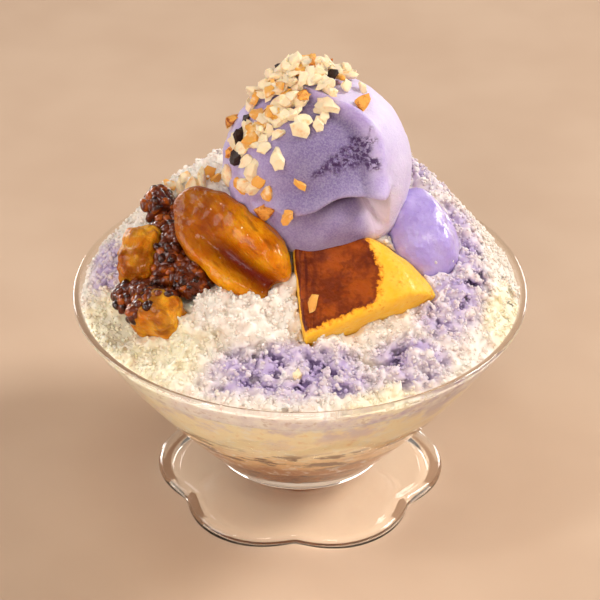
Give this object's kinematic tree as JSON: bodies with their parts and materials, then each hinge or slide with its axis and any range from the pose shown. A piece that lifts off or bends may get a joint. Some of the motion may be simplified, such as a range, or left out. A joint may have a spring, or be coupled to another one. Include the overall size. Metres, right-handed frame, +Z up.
{
  "type": "shaved ice dessert in a footed glass dish",
  "caption": "Shaved ice dessert in a flared glass dish on a petal foot, topped with a purple yam ice cream scoop, flan, candied fruit, sweet beans and crisp rice.",
  "frame": {"origin": "on the table, at the middle of the foot", "axes": "+Z up; -Y towards the serving side, where the flan lies; +X to the right of it, where the purple jam lies"},
  "size_m": [0.1498, 0.15, 0.1533],
  "materials": {
    "clear_glass": "clear pressed glass, smooth, fire-polished lip",
    "sweet_bean": "glossy dark brown beans in syrup",
    "milky_slush": "tan milk and melting ice, wet",
    "shaved_ice": "grainy white ice with purple and cream stains",
    "yam_ice_cream": "lavender ice cream, soft satin",
    "custard_flan": "yellow custard with a caramel face, moist",
    "candied_fruit": "amber, translucent, syrup-glazed",
    "yam_jam": "lavender paste, wet gloss",
    "crisp_rice": "dry toasted cream flakes"
  },
  "bodies": {
    "root": {"glass_dish": "clear_glass", "bean_layer": "sweet_bean", "milk_slush": "milky_slush", "ice_heap": "shaved_ice", "ice_cream_scoop": "yam_ice_cream", "flan_wedge": "custard_flan", "fruit_slice": "candied_fruit", "candied_chunk_back": "candied_fruit", "candied_chunk_front": "candied_fruit", "sweet_bean_heap": "sweet_bean", "yam_lump": "yam_jam", "crisp_heap": "crisp_rice"}
  },
  "joints": []
}
